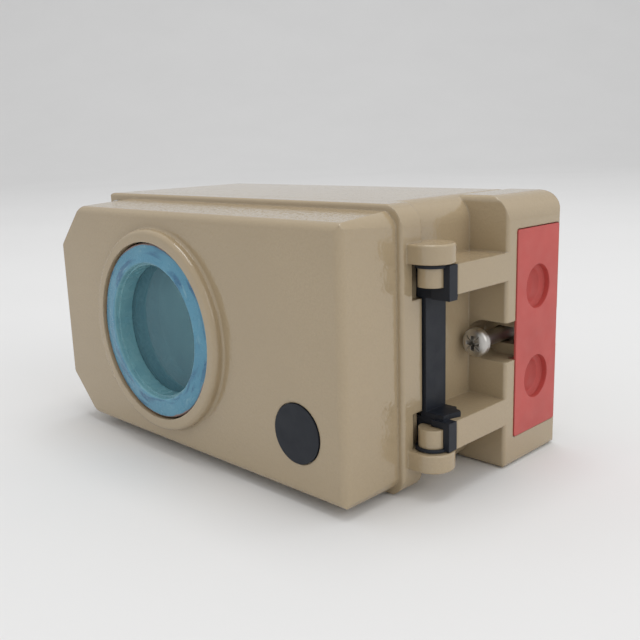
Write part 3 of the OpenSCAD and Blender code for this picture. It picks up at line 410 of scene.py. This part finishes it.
def cross_cutter(top, bottom, y_top, y_bottom, turn=0.0):
    """Tapered cross-shaped cutter along Y. Top and bottom are (reach, half width)."""
    made = bmesh.new()
    loops = []
    for (reach, half), y in ((top, y_top), (bottom, y_bottom)):
        loop = []
        for quarter in range(4):
            for u, v in ((reach, -half), (reach, half), (half, half)):
                angle = quarter * math.pi / 2 + turn
                x = u * math.cos(angle) - v * math.sin(angle)
                z = u * math.sin(angle) + v * math.cos(angle)
                loop.append(made.verts.new((x, y, z)))
        loops.append(loop)
    count = len(loops[0])
    for i in range(count):
        j = (i + 1) % count
        made.faces.new((loops[0][i], loops[0][j], loops[1][j], loops[1][i]))
    made.faces.new(loops[0])
    made.faces.new(tuple(reversed(loops[1])))
    bmesh.ops.recalc_face_normals(made, faces=made.faces)
    return made


def carved(solid, cutters):
    """The solid less the cutters, as a new mesh."""
    body = linked("solid", as_mesh("solid", solid))
    tools = [linked("cutter", as_mesh("cutter", cutter)) for cutter in cutters]
    for tool in tools:
        step = body.modifiers.new("cut", "BOOLEAN")
        step.operation = "DIFFERENCE"
        step.solver = "EXACT"
        step.object = tool
    graph = bpy.context.evaluated_depsgraph_get()
    result = bpy.data.meshes.new_from_object(body.evaluated_get(graph))
    for obj in (body, *tools):
        mesh = obj.data
        bpy.data.objects.remove(obj)
        bpy.data.meshes.remove(mesh)
    return result


def head_rows(radius, height):
    """Rows of a pan head whose seat is at y = 0 and whose top is at y = -height."""
    flat, shoulder, fullness, steps = 0.3, 0.48, 2.3, 6
    rim_h, seat_r = 0.1 * height, 0.95 * radius
    rows = []
    for i in range(steps + 1):
        angle = math.pi / 2 * i / steps
        out = flat + (1 - flat) * math.sin(angle) ** (2 / fullness)
        up = shoulder + (1 - shoulder) * math.cos(angle) ** (2 / fullness)
        rows.append(plain(-up * height, out * radius))
    return rows + [plain(-rim_h, radius), plain(0, seat_r)]


def pan_screw(head_r, head_h, shank_rows):
    """Mesh of a cross-recessed pan-head screw along +Y, seated at y = 0."""
    solid = turned(head_rows(head_r, head_h) + shank_rows)
    above, recess_floor, tick_floor = -1.1 * head_h, -0.25 * head_h, -0.8 * head_h
    reach, half = 0.56 * head_r, 0.15 * head_r
    recess = cross_cutter((reach, half), (0.5 * reach, 0.8 * half), above, recess_floor)
    tick_top, tick_bottom = (1.25 * reach, 0.045 * head_r), (1.2 * reach, 0.03 * head_r)
    ticks = cross_cutter(tick_top, tick_bottom, above, tick_floor, math.pi / 4)
    return carved(solid, [recess, ticks])


def smoothed(mesh):
    """Smooth shading, kept sharp at steep edges."""
    steepest_smooth = math.radians(32)
    mesh.polygons.foreach_set("use_smooth", [True] * len(mesh.polygons))
    mesh.set_sharp_from_angle(angle=steepest_smooth)
    return mesh


def repeated(mesh, places):
    """One smooth mesh with a copy of the given one at each place."""
    made = bmesh.new()
    for place in places:
        start = len(made.verts)
        made.from_mesh(mesh)
        made.verts.ensure_lookup_table()
        bmesh.ops.translate(made, verts=made.verts[start:], vec=place)
    return smoothed(as_mesh(mesh.name, made))


def fixing_screw(end, looks):
    """Captive M5 screw at one end: pan head, plain neck with a ring groove, thread."""
    node = "fixing_screw_" + end
    low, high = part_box(node)
    ring_low, ring_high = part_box("retaining_ring_" + end)
    head_r, head_h = (high.x - low.x) / 2, 3.6 * MM
    shank_r, groove, run_in, chamfer = 2.5 * MM, 0.5 * MM, 1 * MM, 0.8 * MM
    thread_depth, pitch = 0.45 * MM, 0.8 * MM
    seat = low.y + head_h
    groove_start, groove_end, tip = ring_low.y - seat, ring_high.y - seat, high.y - seat
    rows = [plain(0, shank_r), plain(groove_start, shank_r), plain(groove_start, shank_r - groove),
            plain(groove_end, shank_r - groove), plain(groove_end, shank_r)]
    rows += threaded(groove_end + run_in, tip - chamfer, shank_r, thread_depth, pitch)
    rows.append(plain(tip, shank_r - chamfer))
    place = ((low.x + high.x) / 2, seat, (low.z + high.z) / 2)
    detail(node, repeated(pan_screw(head_r, head_h, rows), [place]), node, "steel", looks)


def corner_places(node, head_r, both_ends):
    """Axes (x, z) of the screws in a node whose heads touch the node's box."""
    low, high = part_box(node)
    xs = (low.x + head_r, high.x - head_r) if both_ends else (low.x + head_r,)
    return [(x, z) for x in xs for z in (low.z + head_r, high.z - head_r)]


def screw_group(node, body, looks, head_r, head_h, shank_r, pitch, both_ends):
    """Identical pan-head screws in place of one CAD node, at one end of it or at both."""
    low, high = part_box(node)
    seat = low.y + head_h
    tip = high.y - seat
    neck, thread_start, chamfer = 0.35 * tip, 0.38 * tip, 0.6 * MM
    thread_depth, tip_r = 0.32 * MM, 0.7 * shank_r
    rows = [plain(0, shank_r), plain(neck, shank_r)]
    rows += threaded(thread_start, tip - chamfer, shank_r, thread_depth, pitch)
    rows.append(plain(tip, tip_r))
    places = [(x, seat, z) for x, z in corner_places(node, head_r, both_ends)]
    detail(node, repeated(pan_screw(head_r, head_h, rows), places), body, "steel", looks)


def add_screws(looks):
    """All the screws, with their threads and recesses."""
    for end in ("hinge_end", "far_end"):
        fixing_screw(end, looks)
    screw_group("cover_screws", "cover", looks, head_r=3.8 * MM, head_h=2.6 * MM, shank_r=1.65 * MM,
                pitch=0.7 * MM, both_ends=False)
    screw_group("panel_screws", "housing", looks, head_r=2.8 * MM, head_h=2.0 * MM, shank_r=1.45 * MM,
                pitch=0.5 * MM, both_ends=True)


def feedback_thread(looks):
    """Feedback shaft with the thread that its nut runs on."""
    low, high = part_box("feedback_shaft")
    nut_low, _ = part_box("lever_nut")
    radius, chamfer, run_in = (high.x - low.x) / 2, 0.5 * MM, 0.5 * MM
    thread_depth, pitch, segments = 0.5 * MM, 1.25 * MM, 48
    start, tip = nut_low.y - low.y, high.y - low.y
    rows = [plain(0, radius - chamfer), plain(chamfer, radius), plain(start - run_in, radius)]
    rows += threaded(start, tip - chamfer, radius, thread_depth, pitch)
    rows.append(plain(tip, radius - 2 * chamfer))
    mesh = as_mesh("feedback_shaft_detail", turned(rows, segments))
    place = ((low.x + high.x) / 2, low.y, (low.z + high.z) / 2)
    detail("feedback_shaft", repeated(mesh, [place]), "lever", "steel", looks)


def port_bowl(at):
    """Cutter for a bowl that is sunk into a plug of the port cover, along X from its face."""
    depths_and_radii = ((-0.5, 7.3), (1.6, 7.3), (2.3, 7.0), (2.8, 5.7), (4.0, 4.9), (4.6, 3.6))
    segments = 64
    made = turned([plain(-depth * MM, radius * MM) for depth, radius in depths_and_radii], segments)
    place = Matrix.Translation(at) @ Matrix.Rotation(-math.pi / 2, 4, "Z")
    bmesh.ops.transform(made, matrix=place, verts=made.verts)
    return made


def notch_relief(low, high, screw_low, screw_high):
    """Cutter that thins the port cover from behind where it bridges the screw's notch."""
    past, web, seat_depth = 1 * MM, 0.8 * MM, 3 * MM
    middle, half = (screw_low.z + screw_high.z) / 2, 7 * MM
    bottom = Vector((high.x - seat_depth - past, low.y - past, middle - half))
    top = Vector((high.x - web, high.y + past, middle + half))
    size = top - bottom
    made = bmesh.new()
    bmesh.ops.create_cube(made, size=1.0)
    place = Matrix.Translation((top + bottom) / 2) @ Matrix.Diagonal((size.x, size.y, size.z, 1.0))
    bmesh.ops.transform(made, matrix=place, verts=made.verts)
    return made


def port_cover_bowls(looks):
    """Port cover whose dishes go down into its plugs."""
    solid = bmesh.new()
    solid.from_mesh(NODES["port_cover"].data)
    bmesh.ops.remove_doubles(solid, verts=solid.verts, dist=0.001 * MM)
    low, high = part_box("port_cover")
    cutters = [port_bowl((high.x, PORT_Y, z)) for z in PORT_HEIGHTS]
    cutters.append(notch_relief(low, high, *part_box("fixing_screw_hinge_end")))
    mesh = carved(solid, cutters)
    # The CAD mesh's own normals don't fit the carved faces
    mesh.attributes.remove(mesh.attributes["custom_normal"])
    detail("port_cover", smoothed(mesh), "port_cover", "red_plastic", looks)


def sweep():
    """Floor that curves up into a backdrop behind the object, as one smooth sheet."""
    near, bend, rise, half_width = -2.4, 2.2, 5.0, 8.0
    radius, steps = 3.0, 32
    profile = [(near, 0.0), (bend, 0.0)]
    for i in range(1, steps + 1):
        angle = math.pi / 2 * i / steps
        profile.append((bend + radius * math.sin(angle), radius * (1 - math.cos(angle))))
    profile.append((bend + radius, rise))
    yaw = math.radians(CAMERA_YAW)
    away, across = Vector((-math.sin(yaw), math.cos(yaw), 0)), Vector((math.cos(yaw), math.sin(yaw), 0))
    made = bmesh.new()
    pairs = []
    for along, height in profile:
        pairs.append([made.verts.new(away * along + across * side + Vector((0, 0, height)))
                      for side in (-half_width, half_width)])
    for (a, b), (c, d) in zip(pairs, pairs[1:]):
        made.faces.new((a, b, d, c)).smooth = True
    mesh = as_mesh("backdrop", made)
    mesh.materials.append(floor_look())
    linked("backdrop", mesh)


def lamp(name, at, target, size, power):
    """A square area lamp that faces the target."""
    data = bpy.data.lights.new(name, "AREA")
    data.shape = "SQUARE"
    data.size = size
    data.energy = power
    obj = linked(name, data)
    obj.location = at
    obj.rotation_euler = (Vector(target) - Vector(at)).to_track_quat("-Z", "Y").to_euler()


def studio():
    """Even surround, soft light from above and from the right, and a lit backdrop."""
    white, surround_strength = (1.0, 1.0, 1.0, 1.0), 0.72
    world = bpy.data.worlds.new("surround")
    world.use_nodes = True
    background = world.node_tree.nodes["Background"]
    background.inputs["Color"].default_value = white
    background.inputs["Strength"].default_value = surround_strength
    bpy.context.scene.world = world
    middle, backdrop = (0, 0, 0.05), (-2.8, 2.8, 0.6)
    lamp("overhead", (0.0, 0.1, 1.6), middle, size=0.9, power=8.5)
    lamp("right", (1.3, 0.1, 0.8), middle, size=1.0, power=3.5)
    lamp("backdrop", (-1.2, 1.2, 2.6), backdrop, size=2.0, power=8)
    sweep()


def camera():
    """Camera at the photograph's angle."""
    yaw, pitch, roll = (math.radians(a) for a in (CAMERA_YAW, CAMERA_PITCH, CAMERA_ROLL))
    forward = Vector((-math.sin(yaw) * math.cos(pitch), math.cos(yaw) * math.cos(pitch), -math.sin(pitch)))
    right = Vector((math.cos(yaw), math.sin(yaw), 0))
    up = right.cross(forward)
    image_right = right * math.cos(roll) + up * math.sin(roll)
    image_up = up * math.cos(roll) - right * math.sin(roll)
    data = bpy.data.cameras.new("camera")
    data.sensor_width = SENSOR_MM
    data.lens = FOCAL_PIXELS / PICTURE_PIXELS * SENSOR_MM
    data.clip_start = 10 * MM
    matrix = Matrix((image_right, image_up, -forward)).transposed().to_4x4()
    matrix.translation = CAMERA_AT
    obj = linked("camera", data)
    obj.matrix_world = matrix
    bpy.context.scene.camera = obj


def write_sizes():
    """Brings the view layer up to date."""
    bpy.context.view_layer.update()


def main():
    """Finishes, fine pieces, studio and camera."""
    bpy.context.scene.view_settings.view_transform = "Standard"
    looks = finishes()
    paint_nodes(looks)
    add_screws(looks)
    feedback_thread(looks)
    port_cover_bowls(looks)
    studio()
    camera()
    write_sizes()


main()
